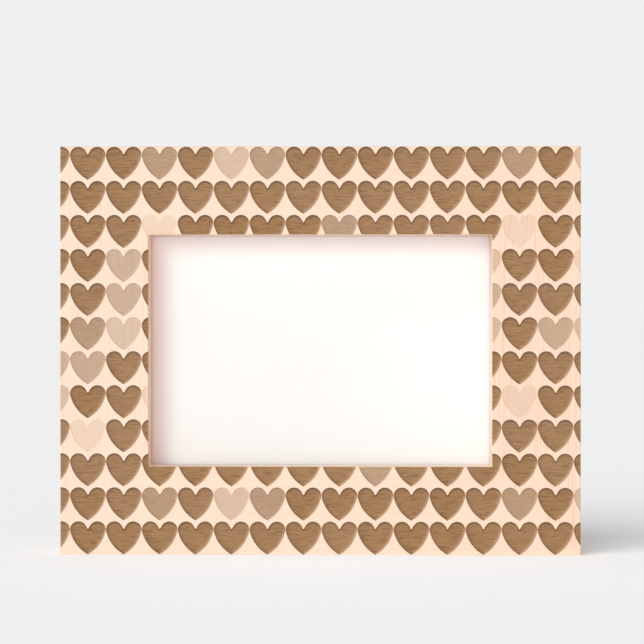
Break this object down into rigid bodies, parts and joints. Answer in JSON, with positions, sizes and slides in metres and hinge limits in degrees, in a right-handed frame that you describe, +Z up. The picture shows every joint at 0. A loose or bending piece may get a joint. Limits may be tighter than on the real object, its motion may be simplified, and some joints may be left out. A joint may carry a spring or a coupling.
{
  "type": "engraved picture frame",
  "caption": "Mitred solid-wood picture frame with a heart grid engraved in its face, glazed and back-loaded, with turn-buttons, a sawtooth hanger and a folding easel leg.",
  "frame": {"origin": "middle of the flat bottom face that the frame stands on", "axes": "+X to the right along the frame as seen from the front, +Y from the face to the back, +Z up"},
  "size_m": [0.1778, 0.024, 0.1397],
  "materials": {
    "maple": "pale close-grained wood, unlacquered, with hearts burnt brown",
    "glass": "clear polished",
    "paper": "smooth white",
    "card": "grey filler card",
    "hardboard": "dark brown hardboard with a fine screen texture",
    "zinc_steel": "bright zinc plate",
    "nail_steel": "plain dark steel"
  },
  "bodies": {
    "frame": {"top_rail": "maple", "bottom_rail": "maple", "left_stile": "maple", "right_stile": "maple", "v_nails": "nail_steel", "glazing": "glass", "insert_sheet": "paper", "filler_card": "card", "backing_board": "hardboard", "turn_button_screws": "zinc_steel", "hinge_plate": "zinc_steel", "hinge_plate_rivets": "zinc_steel", "hinge_pin": "zinc_steel", "hanger_plate": "zinc_steel", "hanger_nails": "nail_steel"},
    "leg": {"easel_leg": "hardboard", "leg_leaf": "zinc_steel", "leg_rivets": "zinc_steel"},
    "button_top_left": {"turn_button_top_left": "zinc_steel"},
    "button_top_right": {"turn_button_top_right": "zinc_steel"},
    "button_bottom_left": {"turn_button_bottom_left": "zinc_steel"},
    "button_bottom_right": {"turn_button_bottom_right": "zinc_steel"}
  },
  "joints": [
    {"name": "leg_hinge", "type": "hinge", "parent": "frame", "child": "leg", "pos_m": [0, 0.01175, 0.0999], "axis": [1, 0, 0], "range_deg": [0, 28]},
    {"name": "button_top_left_turn", "type": "hinge", "parent": "frame", "child": "button_top_left", "pos_m": [-0.0421, 0.0101, 0.1239], "axis": [0, 1, 0], "continuous": true},
    {"name": "button_top_right_turn", "type": "hinge", "parent": "frame", "child": "button_top_right", "pos_m": [0.0421, 0.0101, 0.1239], "axis": [0, 1, 0], "continuous": true},
    {"name": "button_bottom_left_turn", "type": "hinge", "parent": "frame", "child": "button_bottom_left", "pos_m": [-0.0421, 0.0101, 0.0158], "axis": [0, 1, 0], "continuous": true},
    {"name": "button_bottom_right_turn", "type": "hinge", "parent": "frame", "child": "button_bottom_right", "pos_m": [0.0421, 0.0101, 0.0158], "axis": [0, 1, 0], "continuous": true}
  ]
}
